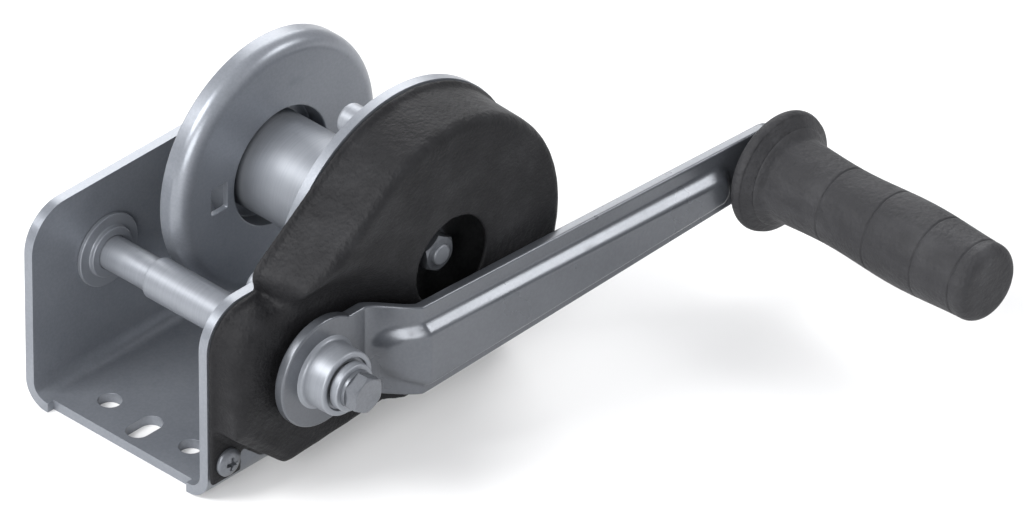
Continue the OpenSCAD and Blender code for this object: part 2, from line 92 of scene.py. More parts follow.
# shader and geometry maths as Python expressions

class Flow:

    def __init__(self, tree, socket):
        self.tree, self.socket = tree, socket

    def maths(self, operation, *others):
        made = addNode(self.tree, "ShaderNodeMath", {"operation": operation}, [self, *others])
        return Flow(self.tree, made.outputs[0])

    def __add__(self, other):
        return self.maths("ADD", other)

    def __radd__(self, other):
        return self.maths("ADD", other)

    def __sub__(self, other):
        return self.maths("SUBTRACT", other)

    def __rsub__(self, other):
        return self.maths("MULTIPLY", -1.0).maths("ADD", other)

    def __mul__(self, other):
        return self.maths("MULTIPLY", other)

    def __truediv__(self, other):
        return self.maths("DIVIDE", other)

    def __pow__(self, other):
        return self.maths("POWER", other)

    def step(self, low, high):
        made = addNode(self.tree, "ShaderNodeMapRange", {"interpolation_type": "SMOOTHSTEP"},
                       {"Value": self, "From Min": low, "From Max": high})
        return Flow(self.tree, made.outputs["Result"])


def addNode(tree, kind, settings=None, values=()):
    made = tree.nodes.new(kind)
    for key, setting in (settings or {}).items():
        setattr(made, key, setting)
    pairs = values.items() if isinstance(values, dict) else enumerate(values)
    for key, value in pairs:
        if isinstance(value, Flow):
            tree.links.new(value.socket, made.inputs[key])
        elif isinstance(value, bpy.types.NodeSocket):
            tree.links.new(value, made.inputs[key])
        else:
            made.inputs[key].default_value = value
    return made


# materials

finishes = {
    "sheet": {"colour": (0.185, 0.199, 0.224), "light": (0.23, 0.245, 0.272), "metal": 0.42,
              "rough": 0.34, "patch": 26, "grain": 900, "bump": 0.08, "stretch": (1, 1, 1)},
    "turned": {"colour": (0.215, 0.229, 0.254), "light": (0.26, 0.275, 0.302), "metal": 0.42,
               "rough": 0.44, "patch": 30, "grain": 260, "bump": 0.06, "stretch": (0.15, 6, 0.15)},
    # the sheet's zinc plate again, about half as bright: painted shade on the crank arm, whose outward face gets
    # more lamp light
    "pressed": {"colour": (0.088, 0.095, 0.108), "light": (0.113, 0.121, 0.136), "metal": 0.42,
                "rough": 0.29, "patch": 26, "grain": 900, "bump": 0.08, "stretch": (1, 1, 1)},
    "fastener": {"colour": (0.115, 0.124, 0.139), "light": (0.16, 0.169, 0.187), "metal": 0.45,
                 "rough": 0.32, "patch": 60, "grain": 1100, "bump": 0.07, "stretch": (1, 1, 1)},
    "gear": {"colour": (0.085, 0.088, 0.095), "light": (0.17, 0.175, 0.185), "metal": 0.8,
             "rough": 0.36, "patch": 70, "grain": 700, "bump": 0.15, "stretch": (1, 1, 1)},
}


def startMaterial(name):
    material = bpy.data.materials.new(name)
    material.use_nodes = True
    tree = material.node_tree
    tree.nodes.clear()
    shader = addNode(tree, "ShaderNodeBsdfPrincipled")
    output = addNode(tree, "ShaderNodeOutputMaterial")
    tree.links.new(shader.outputs[0], output.inputs[0])
    place = addNode(tree, "ShaderNodeTexCoord").outputs["Object"]
    return material, tree, shader, place


def noise(tree, place, scale, detail, rough=0.55, stretch=(1, 1, 1)):
    mapped = addNode(tree, "ShaderNodeMapping", {}, {"Vector": place, "Scale": stretch})
    made = addNode(tree, "ShaderNodeTexNoise", {},
                   {"Vector": mapped.outputs[0], "Scale": scale, "Detail": detail,
                    "Roughness": rough})
    return Flow(tree, made.outputs[0])


def mixColour(tree, factor, low, high):
    made = addNode(tree, "ShaderNodeMix", {"data_type": "RGBA"})
    tree.links.new(factor.socket, made.inputs[0])
    for index, colour in ((6, low), (7, high)):  # the colour sockets A and B
        if isinstance(colour, bpy.types.NodeSocket):
            tree.links.new(colour, made.inputs[index])
        else:
            made.inputs[index].default_value = (*colour, 1)
    return made.outputs[2]


def bumpBy(tree, shader, height, strength, distance):
    made = addNode(tree, "ShaderNodeBump", {},
                   {"Strength": strength, "Distance": distance, "Height": height})
    tree.links.new(made.outputs[0], shader.inputs["Normal"])


steelSizes = {"cloudShare": 0.6, "cloudRough": 0.16, "rubbedScale": 3.1, "rubbedFrom": 0.58,
              "rubbedTo": 0.74, "rubbedShare": 0.35, "rubbedRough": 0.08, "dull": 0.84,
              "specular": 0.75, "spangleBump": 0.6, "cloudBump": 0.4, "bumpDepth": 0.2 * mm}


def platedSteel(name, cfg):  # zinc plate: soft clouds, fine spangle and rubbed patches
    material, tree, shader, place = startMaterial(name)
    clouds = noise(tree, place, cfg["patch"], 4.0)
    spangle = noise(tree, place, cfg["grain"], 2.0, 0.6, cfg["stretch"])
    rubbed = noise(tree, place, cfg["patch"] * steelSizes["rubbedScale"], 5.0, 0.7)
    rubbed = rubbed.step(steelSizes["rubbedFrom"], steelSizes["rubbedTo"])
    share = steelSizes["cloudShare"]
    tone = clouds.step(0.3, 0.7) * share + spangle.step(0.35, 0.65) * (1 - share)
    plate = mixColour(tree, tone, cfg["colour"], cfg["light"])
    dull = tuple(steelSizes["dull"] * c for c in cfg["colour"])
    worn = mixColour(tree, rubbed * steelSizes["rubbedShare"], plate, dull)
    tree.links.new(worn, shader.inputs["Base Color"])
    rough = cfg["rough"] + (clouds - 0.5) * steelSizes["cloudRough"]
    rough = rough + rubbed * steelSizes["rubbedRough"]
    tree.links.new(rough.socket, shader.inputs["Roughness"])
    shader.inputs["Metallic"].default_value = cfg["metal"]
    shader.inputs["Specular IOR Level"].default_value = steelSizes["specular"]
    relief = spangle * steelSizes["spangleBump"] + clouds * steelSizes["cloudBump"]
    bumpBy(tree, shader, relief, cfg["bump"], steelSizes["bumpDepth"])
    return material


blackSizes = {"pebbleSoft": 0.6, "handled": 38, "streaks": 120, "streakStretch": (1, 0.25, 1),
              "waves": 0.42, "specular": 0.18,
              "toneShares": (0.45, 0.3, 0.25),  # of handling, streaks and grain
              "grainRough": 0.14, "handledRough": 0.08,
              "bumpShares": (0.6, 0.6, 1.6),  # of pebbles, grain and waves
              "bump": 0.85, "bumpDepth": 0.42 * mm}
mouldings = {
    "moulded_black": {"colour": (0.0075, 0.0075, 0.0086), "light": (0.0225, 0.0227, 0.0247),
                      "rough": 0.5, "leather": 640, "grain": 1300},
    "soft_black": {"colour": (0.026, 0.026, 0.0282), "light": (0.05, 0.0502, 0.0535),
                   "rough": 0.52, "leather": 620, "grain": 1200},
}


def mouldedBlack(name):  # grained black moulding
    cfg = mouldings[name]
    material, tree, shader, place = startMaterial(name)
    pebbles = addNode(tree, "ShaderNodeTexVoronoi", {"feature": "SMOOTH_F1"},
                      {"Vector": place, "Scale": cfg["leather"],
                       "Smoothness": blackSizes["pebbleSoft"]})
    pebbles = Flow(tree, pebbles.outputs["Distance"])
    grain = noise(tree, place, cfg["grain"], 4.0, 0.65)
    handled = noise(tree, place, blackSizes["handled"], 4.0, 0.6).step(0.42, 0.72)
    streaks = noise(tree, place, blackSizes["streaks"], 3.0, 0.6, blackSizes["streakStretch"])
    streaks = streaks.step(0.45, 0.7)
    waves = noise(tree, place, cfg["leather"] * blackSizes["waves"], 3.0, 0.6)
    byHandling, byStreaks, byGrain = blackSizes["toneShares"]
    tone = handled * byHandling + streaks * byStreaks + grain * byGrain
    black = mixColour(tree, tone, cfg["colour"], cfg["light"])
    tree.links.new(black, shader.inputs["Base Color"])
    rough = cfg["rough"] + grain * blackSizes["grainRough"] - handled * blackSizes["handledRough"]
    tree.links.new(rough.socket, shader.inputs["Roughness"])
    shader.inputs["Specular IOR Level"].default_value = blackSizes["specular"]
    pebbleBump, grainBump, waveBump = blackSizes["bumpShares"]
    relief = pebbles * pebbleBump + grain * grainBump + waves * waveBump
    bumpBy(tree, shader, relief, blackSizes["bump"], blackSizes["bumpDepth"])
    return material


roomSizes = {"floorColour": (0.68, 0.68, 0.68, 1), "floorRough": 0.9, "floorGlow": 0.2,
             "horizon": (0.78, 0.79, 0.82), "zenith": (0.95, 0.96, 1.0), "skyFrom": -0.2,
             "skyTo": 0.95, "world": 0.56}


def floorMaterial():  # white to the camera, with the shadow kept
    material, tree, shader, _ = startMaterial("pale_floor")
    shader.inputs["Base Color"].default_value = roomSizes["floorColour"]
    shader.inputs["Roughness"].default_value = roomSizes["floorRough"]
    ray = addNode(tree, "ShaderNodeLightPath").outputs
    seen = Flow(tree, ray["Is Camera Ray"]) + ray["Is Glossy Ray"] + ray["Is Transmission Ray"]
    tree.links.new(seen.maths("MINIMUM", 1.0).socket, shader.inputs["Emission Color"])
    shader.inputs["Emission Strength"].default_value = roomSizes["floorGlow"]
    return material


def makeWorld():  # brighter overhead than at the horizon
    world = bpy.data.worlds.new("studio")
    bpy.context.scene.world = world
    world.use_nodes = True
    tree = world.node_tree
    tree.nodes.clear()
    place = addNode(tree, "ShaderNodeTexCoord").outputs["Generated"]
    height = Flow(tree, addNode(tree, "ShaderNodeSeparateXYZ", {}, [place]).outputs[2])
    height = height.step(roomSizes["skyFrom"], roomSizes["skyTo"])
    sky = mixColour(tree, height, roomSizes["horizon"], roomSizes["zenith"])
    back = addNode(tree, "ShaderNodeBackground", {}, {"Color": sky,
                                                     "Strength": roomSizes["world"]})
    output = addNode(tree, "ShaderNodeOutputWorld")
    tree.links.new(back.outputs[0], output.inputs[0])


sheetSteel = platedSteel("plated_sheet", finishes["sheet"])
# the crank arm's material: the plated sheet darkened as painted shade
pressedSteel = platedSteel("pressed_steel", finishes["pressed"])
turnedSteel = platedSteel("turned_steel", finishes["turned"])
fastenerSteel = platedSteel("fastener_steel", finishes["fastener"])
gearSteel = platedSteel("gear_steel", finishes["gear"])
coverBlack = mouldedBlack("moulded_black")
gripBlack = mouldedBlack("soft_black")
slotFinish = {"plated_sheet": sheetSteel, "turned_steel": turnedSteel, "gear_steel": gearSteel,
              "fastener_steel": fastenerSteel, "moulded_black": coverBlack,
              "soft_black": gripBlack}
slotOf = {part["node"]: part["material_slot"] for part in frame["record"]["subparts"]}
bodies = frame["record"]["behaviour"]["bodies"]
bodyOf = {node: body for body, group in bodies.items() for node in group}
for name, piece in nodes.items():
    piece.data.materials.clear()
    piece.data.materials.append(slotFinish[slotOf[name]])
print("materials made:", len(bpy.data.materials))


# mesh helpers

meshSizes = {"mergeCad": 2e-6, "flatAngle": 0.6, "merge": 1e-6, "sliver": 1e-7,
             "filletShare": 0.48, "bevelSegments": 3, "bevelAngle": 38}


def shadeSmooth(mesh, sharpAngle):  # smooth, but for edges sharper than the angle
    for face in mesh.polygons:
        face.use_smooth = True
    mesh.set_sharp_from_angle(angle=math.radians(sharpAngle))


def linkMesh(name, mesh, material, sharpAngle=32):
    shadeSmooth(mesh, sharpAngle)
    mesh.materials.clear()
    mesh.materials.append(material)
    piece = bpy.data.objects.new(name, mesh)
    bpy.context.scene.collection.objects.link(piece)
    return piece


def applied(piece):  # the evaluated object as a plain mesh
    bpy.context.view_layer.update()
    graph = bpy.context.evaluated_depsgraph_get()
    mesh = bpy.data.meshes.new_from_object(piece.evaluated_get(graph))
    mesh.name = piece.name
    piece.modifiers.clear()
    piece.data = mesh
    return piece


def standFor(piece, *replaced):
    first = replaced[0]
    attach(piece, bodyOf[first])
    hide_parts(*replaced)


def cleanCopy(node, flat=True):  # a merged copy of a node's loose triangles
    made = bmesh.new()
    made.from_mesh(nodes[node].data)
    bmesh.ops.remove_doubles(made, verts=made.verts, dist=meshSizes["mergeCad"])
    if flat:
        bmesh.ops.dissolve_limit(made, angle_limit=math.radians(meshSizes["flatAngle"]),
                                 verts=made.verts, edges=made.edges)
    mesh = bpy.data.meshes.new(node + "_finished")
    made.to_mesh(mesh)
    made.free()
    return mesh


def softened(node, width):  # the node again, with its edges broken
    piece = linkMesh(node + "_finished", cleanCopy(node), slotFinish[slotOf[node]])
    bevel = piece.modifiers.new("edges", "BEVEL")
    bevel.width = width
    bevel.segments = meshSizes["bevelSegments"]
    bevel.limit_method = "ANGLE"
    bevel.angle_limit = math.radians(meshSizes["bevelAngle"])
    bevel.use_clamp_overlap = True
    bevel.miter_outer = "MITER_ARC"
    even = piece.modifiers.new("shading", "WEIGHTED_NORMAL")
    even.keep_sharp = True
    applied(piece)
    standFor(piece, node)


def gridMesh(name, rows):  # a skin over rows of points, each row a ring
    count = len(rows[0])
    points = np.concatenate(rows)
    faces = []
    for r in range(len(rows) - 1):
        for c in range(count):
            d = (c + 1) % count
            near, far = r * count, (r + 1) * count
            faces.append((near + c, near + d, far + d, far + c))
    mesh = bpy.data.meshes.new(name)
    mesh.from_pydata(points.tolist(), [], faces)
    return mesh


def tidyNormals(mesh):  # merged, without slivers, and facing outwards
    made = bmesh.new()
    made.from_mesh(mesh)
    bmesh.ops.remove_doubles(made, verts=made.verts, dist=meshSizes["merge"])
    bmesh.ops.dissolve_degenerate(made, dist=meshSizes["sliver"], edges=made.edges)
    bmesh.ops.recalc_face_normals(made, faces=made.faces)
    made.to_mesh(mesh)
    made.free()
    return mesh


def filleted(corners, steps=5):  # (radius, place, fillet) corners turned into a smooth profile
    profile = [corners[0][:2]]
    for before, corner, after in zip(corners, corners[1:], corners[2:]):
        here = Vector(corner[:2])
        inward, outward = Vector(before[:2]) - here, Vector(after[:2]) - here
        most = meshSizes["filletShare"] * min(inward.length, outward.length)
        cut = min(corner[2], most)
        start, end = here + inward.normalized() * cut, here + outward.normalized() * cut
        for k in range(steps + 1):
            t = k / steps
            spot = start * (1 - t) ** 2 + here * 2 * t * (1 - t) + end * t ** 2
            profile.append((spot.x, spot.y))
    profile.append(corners[-1][:2])
    return profile


def lathe(name, corners, centre, material, segments):  # turned about an axis along Y
    turn = np.linspace(0, 2 * math.pi, segments, endpoint=False)
    rows = []
    for radius, depth in filleted(corners):
        rows.append(np.stack([centre.x + radius * np.cos(turn), np.full(segments, depth),
                              centre.z + radius * np.sin(turn)], 1))
    return linkMesh(name, tidyNormals(gridMesh(name, rows)), material, sharpAngle=40)


# broken edges on the steel pieces

edgeWidths = {"frame": 0.6, "drum_core": 0.5, "drum_disc": 0.5, "drum_flange": 0.5,
              "shaft_bushing_far": 0.4, "shaft_bushing_near": 0.4, "shaft_sleeve": 0.4,
              "crank_shaft": 0.6, "hub_ring": 0.5, "axle_washer": 0.3,
              "drum_axle": 0.6, "axle_spacer": 0.4, "shaft_circlip": 0.25, "grip_pin": 0.8,
              "grip_washer": 0.3}
for name, width in edgeWidths.items():
    softened(name, width * mm)
print("edges broken:", len(edgeWidths))


# gear cover: the node's form as one soft moulding

coverSizes = {"voxel": 0.85 * mm, "smoothing": 7, "keep": 0.62, "blendRadius": 34.0,
              "blendWidth": 12.0, "blendSteps": 90, "blendDepth": 6.0, "blendRise": 10.0,
              "pull": 0.6, "soft": 0.6}


def blendHollow(mesh, cfg):  # lets the high part run out softly round the crank's hollow
    count = len(mesh.vertices)
    spots = np.empty(count * 3)
    mesh.vertices.foreach_get("co", spots)
    spots = spots.reshape(-1, 3)
    ends = np.empty(len(mesh.edges) * 2, dtype=int)
    mesh.edges.foreach_get("vertices", ends)
    first, second = ends.reshape(-1, 2).T
    valence = np.bincount(first, minlength=count) + np.bincount(second, minlength=count)
    away = np.hypot(spots[:, 0] - shaft.x, spots[:, 2] - shaft.z) / mm
    near = np.clip(1 - ((away - cfg["blendRadius"]) / cfg["blendWidth"]) ** 2, 0, 1)
    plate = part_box("frame")[0].y
    outward = np.clip((plate - spots[:, 1]) / mm / cfg["blendDepth"] - 1, 0, 1)
    above = np.clip((spots[:, 2] - shaft.z) / mm / cfg["blendRise"] + 0.5, 0, 1)
    weight = (near * outward * above)[:, None] * cfg["pull"]  # nothing moves elsewhere
    for _ in range(cfg["blendSteps"]):  # each vertex goes towards the mean of its neighbours
        mean = np.empty_like(spots)
        for axis in range(3):
            mean[:, axis] = np.bincount(first, spots[second, axis], count)
            mean[:, axis] += np.bincount(second, spots[first, axis], count)
        spots += (mean / valence[:, None] - spots) * weight
    mesh.vertices.foreach_set("co", spots.ravel())
    mesh.update()


def makeCover(cfg):
    piece = linkMesh("gear_cover_moulding", cleanCopy("gear_cover", False), coverBlack)
    remesh = piece.modifiers.new("skin", "REMESH")
    remesh.mode = "VOXEL"
    remesh.voxel_size = cfg["voxel"]
    applied(piece)
    blendHollow(piece.data, cfg)
    smooth = piece.modifiers.new("soft", "CORRECTIVE_SMOOTH")
    smooth.use_only_smooth = True
    smooth.factor = cfg["soft"]
    smooth.iterations = cfg["smoothing"]
    fewer = piece.modifiers.new("fewer", "DECIMATE")
    fewer.ratio = cfg["keep"]
    applied(piece)
    for face in piece.data.polygons:  # remeshing leaves it flat and without its material
        face.use_smooth = True
    piece.data.materials.clear()
    piece.data.materials.append(coverBlack)
    standFor(piece, "gear_cover")
    print("cover faces:", len(piece.data.polygons))


makeCover(coverSizes)


# crank arm: pressed from sheet, with a cranked root and a raised panel

armSizes = {"disc": 21.8, "sheet": 4.2, "rampStart": 20.5, "rampSlope": 1.0,
            "rampEase": 0.45, "neckTop": 18.0, "neckEnd": 24, "upRoot": 17.3,
            "heelDrop": 1.5, "heelLift": 0.5, "heelEnd": 8,
            "downRoot": 20.3, "rootAt": 38.0, "tipLift": 1.2, "tip": 12.5, "edge": 0.9,
            "panelRise": 4.0, "cadRise": 2.0, "topMargin": 8.4, "lowMargin": 5.2,
            "panelStart": 24.0, "panelEndGap": 19.0, "panelCorner": 5.0, "panelSoft": 4.0,
            "topSoft": 5.4, "panelTaper": 4.5, "taperEnd": 35.0, "taperRun": 12,
            "rows": 320, "columns": 61, "endSteps": 40}


def eased(t):
    return t * t * (3 - 2 * t)


def armOutline(along, reach, drop, cfg):  # upper and lower edge at each place along the arm
    disc, tip = cfg["disc"], cfg["tip"]
    discHalf = np.sqrt(np.maximum(disc ** 2 - along ** 2, 0))
    tipHalf = np.sqrt(np.maximum(tip ** 2 - np.maximum(along - reach, 0) ** 2, 0))
    top = np.interp(along, [cfg["neckEnd"], cfg["rootAt"], reach],
                    [cfg["neckTop"], cfg["upRoot"], tip - drop])
    bottom = np.interp(along, [0, cfg["heelEnd"], cfg["rootAt"], reach],
                       [cfg["heelDrop"] + cfg["heelLift"] - disc, cfg["heelDrop"] - disc,
                        -cfg["downRoot"], -tip - drop])
    top = np.where(along < 0, discHalf, np.maximum(discHalf, top))
    bottom = np.where(along < 0, -discHalf, np.minimum(-discHalf, bottom))
    top = np.where(along > reach, tipHalf - drop, top)
    bottom = np.where(along > reach, -tipHalf - drop, bottom)
    return top, bottom


def panelShare(s, z, top, bottom, reach, cfg):  # 1 on the raised panel, 0 past its soft edge
    corner = cfg["panelCorner"]
    taper = cfg["panelTaper"] * np.clip((cfg["taperEnd"] - s) / cfg["taperRun"], 0, 1)
    fromLow = bottom + cfg["lowMargin"] + taper + corner - z
    fromTop = z - top + cfg["topMargin"] + taper + corner
    outS = np.maximum(cfg["panelStart"] + corner - s, s - (reach - cfg["panelEndGap"] - corner))
    outZ = np.maximum(fromLow, fromTop)
    outside = np.hypot(np.maximum(outS, 0), np.maximum(outZ, 0)) - corner
    outside += np.minimum(np.maximum(outS, outZ), 0)
    upper = np.clip(0.5 + (z - (top + bottom) / 2) / corner, 0, 1)
    soft = cfg["panelSoft"] + (cfg["topSoft"] - cfg["panelSoft"]) * upper
    return eased(np.clip(0.5 - outside / soft, 0, 1))


def makeArm(cfg):  # s runs along the arm and z across it, both in mm from the shaft
    low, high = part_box("crank_arm")
    reach = (gripAxis.x - shaft.x) / mm
    drop = (shaft.z - gripAxis.z) / mm - cfg["tipLift"]
    offset = (high.y - low.y) / mm - cfg["sheet"] - cfg["cadRise"]
    turn = np.linspace(0, math.pi / 2, cfg["endSteps"])
    along = np.unique(np.concatenate([-cfg["disc"] * np.cos(turn),
                                      np.linspace(0, reach, cfg["rows"]),
                                      reach + cfg["tip"] * np.sin(turn)]))
    across = np.sin(np.linspace(-1, 1, cfg["columns"]) * math.pi / 2)
    top, bottom = (line[:, None] for line in armOutline(along, reach, drop, cfg))
    s = along[:, None] + 0 * across[None, :]
    z = (top + bottom) / 2 + (top - bottom) / 2 * across[None, :]
    inset = np.minimum(top - z, z - bottom)  # distance in from the outline
    inset = np.where(s < 0, cfg["disc"] - np.hypot(s, z), inset)
    inset = np.where(s > reach, cfg["tip"] - np.hypot(s - reach, z + drop), inset)
    ramp = np.clip((s - cfg["rampStart"]) * cfg["rampSlope"] / offset, 0, 1)
    level = offset * (ramp * (1 - cfg["rampEase"]) + cfg["rampEase"] * eased(ramp))
    level = level + cfg["panelRise"] * panelShare(s, z, top, bottom, reach, cfg)
    fall = np.clip(1 - np.maximum(inset, 0) / cfg["edge"], 0, 1)
    fall = cfg["edge"] * (1 - np.sqrt(1 - fall ** 2))  # how far the rounded edge drops

    def place(height):
        return np.stack([shaft.x + s * mm, high.y - height * mm, shaft.z + z * mm], -1)

    outer = place(level + cfg["sheet"] - fall)
    back = place(level + fall)
    rings = [np.concatenate([outer[k], back[k][::-1]]) for k in range(len(along))]
    mesh = tidyNormals(gridMesh("crank_arm_pressing", rings))
    # the arm gets the sheet's plate darkened as painted shade
    piece = linkMesh("crank_arm_pressing", mesh, pressedSteel, sharpAngle=50)
    standFor(piece, "crank_arm")


makeArm(armSizes)


# crank hub, its bolt and the axle nut

hubSizes = {"root": 14.4, "rootRound": 0.2, "sink": 0.4, "fillet": 1.6, "filletHeight": 0.9,
            "body": 12.8, "rim": 12.6, "rimRound": 1.0, "lip": 2.3, "lipRound": 0.5,
            "recess": 1.3, "recessRound": 0.3, "bore": 6.5, "foot": 9.0, "footRound": 0.4,
            "overlap": 1.0, "segments": 96}
hexSizes = {"bolt": 13 * mm, "nut": 13 * mm, "nutBore": 4 * mm, "shoulder": 0.96,
            "chamfer": 30, "steps": 96}


def makeHub(cfg):
    size = {key: value * mm for key, value in cfg.items() if key != "segments"}
    low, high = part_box("crank_hub")
    end = low.y
    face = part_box("crank_arm")[1].y - armSizes["sheet"] * mm
    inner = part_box("hub_ring")[1].x - shaft.x
    lip, recess = size["rim"] - size["lip"], end + size["recess"]
    corners = [(size["bore"], high.y, 0), (size["foot"], high.y, size["footRound"]),
               (size["foot"], face + size["overlap"], 0),
               (size["root"], face + size["sink"], 0), (size["root"], face, size["rootRound"]),
               (size["body"], face - size["filletHeight"], size["fillet"]),
               (size["rim"], end, size["rimRound"]), (lip, end, size["lipRound"]),
               (lip, recess, size["recessRound"]), (inner - size["overlap"], recess, 0)]
    piece = lathe("crank_hub_turned", corners, shaft, turnedSteel, cfg["segments"])
    standFor(piece, "crank_hub")


def hexRadius(turn, flats):
    sixth = math.pi / 3
    return flats / 2 / np.cos((turn + sixth / 2) % sixth - sixth / 2)


def makeHex(name, node, centre, flats, outEnd, inEnd, bothEnds, hole=0):  # bolt head or nut
    turn = np.linspace(0, 2 * math.pi, hexSizes["steps"], endpoint=False)
    full = hexRadius(turn, flats)
    shoulder = flats / 2 * hexSizes["shoulder"]
    slope = math.tan(math.radians(hexSizes["chamfer"]))

    def ring(radius, depth):
        radius = radius + 0 * turn
        return np.stack([centre.x + radius * np.cos(turn), depth + 0 * turn,
                         centre.z + radius * np.sin(turn)], 1)

    cut = (full - shoulder) * slope
    rows = [ring(hole, outEnd), ring(shoulder, outEnd), ring(full, outEnd + cut)]
    if bothEnds:
        rows += [ring(full, inEnd - cut), ring(shoulder, inEnd)]
    else:
        rows.append(ring(full, inEnd))
    rows.append(ring(hole, inEnd))
    if hole:  # the wall of the bore
        rows.append(rows[0])
    mesh = tidyNormals(gridMesh(name, rows))
    piece = linkMesh(name, mesh, fastenerSteel, sharpAngle=24)
    standFor(piece, node)


makeHub(hubSizes)
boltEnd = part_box("crank_bolt")[0].y
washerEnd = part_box("spring_washer")[0].y
makeHex("crank_bolt_head", "crank_bolt", shaft, hexSizes["bolt"], boltEnd, washerEnd, False)
nutLow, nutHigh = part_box("axle_nut")
makeHex("axle_nut_chamfered", "axle_nut", axle, hexSizes["nut"], nutLow.y, nutHigh.y, True,
        hexSizes["nutBore"])
print("crank made")


# Geometry Nodes: the split washer, the screws and the grip

def startTree(name, inputs):  # inputs: name to default value, beside the geometry
    tree = bpy.data.node_groups.new(name, "GeometryNodeTree")
    tree.interface.new_socket("Geometry", in_out="INPUT", socket_type="NodeSocketGeometry")
    kinds = {int: "NodeSocketInt", float: "NodeSocketFloat"}
    for key, value in inputs.items():
        socket = tree.interface.new_socket(key, in_out="INPUT", socket_type=kinds[type(value)])
        socket.default_value = value
    tree.interface.new_socket("Geometry", in_out="OUTPUT", socket_type="NodeSocketGeometry")
    entry = addNode(tree, "NodeGroupInput")
    return tree, {key: Flow(tree, entry.outputs[key]) for key in ["Geometry", *inputs]}


def endTree(tree, geometry, material):
    solid = addNode(tree, "GeometryNodeRealizeInstances", {}, [geometry])
    finish = addNode(tree, "GeometryNodeSetMaterial", {}, {"Geometry": solid.outputs[0],
                                                          "Material": material})
    output = addNode(tree, "NodeGroupOutput")
    tree.links.new(finish.outputs[0], output.inputs[0])


def grow(name, tree, values, mesh=None):  # runs the tree once and keeps its plain mesh
    piece = bpy.data.objects.new(name, mesh or bpy.data.meshes.new(name))
    bpy.context.scene.collection.objects.link(piece)
    modifier = piece.modifiers.new("grow", "NODES")
    modifier.node_group = tree
    for item in tree.interface.items_tree:
        if item.in_out == "INPUT" and item.name in values:
            modifier[item.identifier] = values[item.name]
    return applied(piece)


def vector(tree, x, y, z):
    return addNode(tree, "ShaderNodeCombineXYZ", {}, [x, y, z]).outputs[0]


washerSizes = {"bore": 4 * mm, "turns": 0.965, "steps": 90, "wide": 1.5, "fill": 0.96,
               "rise": 0.25 * mm}


def washerTree(cfg):  # a flat wire wound once, open by a few degrees
    tree, given = startTree("split_washer", {"Radius": 0.006, "Wire": 0.002, "Rise": 0.00025})
    coil = addNode(tree, "GeometryNodeCurveSpiral", {},
                   {"Resolution": cfg["steps"], "Rotations": cfg["turns"],
                    "Start Radius": given["Radius"], "End Radius": given["Radius"],
                    "Height": given["Rise"]})
    wire = addNode(tree, "GeometryNodeCurvePrimitiveQuadrilateral", {},
                   {"Width": given["Wire"] * cfg["wide"], "Height": given["Wire"]})
    swept = addNode(tree, "GeometryNodeCurveToMesh", {},
                    {"Curve": coil.outputs[0], "Profile Curve": wire.outputs[0],
                     "Fill Caps": True})
    endTree(tree, swept.outputs[0], fastenerSteel)
    return tree


def placeMesh(piece, spot):  # turns the mesh's Z to the crank's side and moves it
    turn = alongZ.rotation_difference(alongCrank).to_matrix()
    for vertex in piece.data.vertices:
        vertex.co = turn @ vertex.co + spot


def makeWasher(cfg):
    low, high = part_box("spring_washer")
    outer, bore = (high.x - low.x) / 2, cfg["bore"]
    piece = grow("spring_washer_split", washerTree(cfg),
                 {"Radius": (outer + bore) / 2,
                  "Wire": (outer - bore) / cfg["wide"] * cfg["fill"], "Rise": cfg["rise"]})
    placeMesh(piece, Vector((shaft.x, (low.y + high.y) / 2, shaft.z)))
    for vertex in piece.data.vertices:
        vertex.co.y = max(low.y, min(high.y, vertex.co.y))
    tidyNormals(piece.data)
    piece.data.set_sharp_from_angle(angle=math.radians(35))
    standFor(piece, "spring_washer")


screwSizes = {"seed": 3, "spin": 1.57, "radius": 5.5, "height": 2.7, "seat": 2.6,
              "dome": 0.86, "domePower": 2.6, "crossHalf": 0.62, "crossReach": 2.5,
              "wallSoft": 0.25, "endSoft": 0.4, "depth": 1.9, "depthTaper": 0.5, "steps": 72,
              "pitRings": (0.02, 0.6, 22), "rimRings": (0.64, 1, 12)}  # from, to, how many


def screwHeadMesh(cfg):  # a domed head with a cross recess, pointing along +Z
    turn = np.linspace(0, 2 * math.pi, cfg["steps"], endpoint=False)
    rings = np.concatenate([np.linspace(*cfg["pitRings"]), np.linspace(*cfg["rimRings"])])
    rows = []
    for share in rings:
        r = share * cfg["radius"]
        x, y = r * np.cos(turn), r * np.sin(turn)
        fall = cfg["dome"] * share ** cfg["domePower"]
        dome = cfg["height"] * np.sqrt(np.maximum(1 - fall, 0))
        arm = np.minimum(np.abs(x), np.abs(y))
        inCross = np.clip((cfg["crossHalf"] - arm) / cfg["wallSoft"] + 0.5, 0, 1)
        inCross = inCross * np.clip((cfg["crossReach"] - r) / cfg["endSoft"] + 0.5, 0, 1)
        pit = cfg["depth"] * (1 - cfg["depthTaper"] * share)
        rows.append(np.stack([x, y, dome - pit * inCross], 1) * mm)
    foot = rows[-1].copy()
    foot[:, 2] = 0
    mesh = gridMesh("screw_head", [*rows, foot])
    made = bmesh.new()
    made.from_mesh(mesh)
    made.verts.ensure_lookup_table()
    for first in (0, len(rows) * len(turn)):  # closes the middle of the pit and the foot
        made.faces.new([made.verts[first + k] for k in range(len(turn))])
    bmesh.ops.recalc_face_normals(made, faces=made.faces)
    made.to_mesh(mesh)
    made.free()
    return mesh


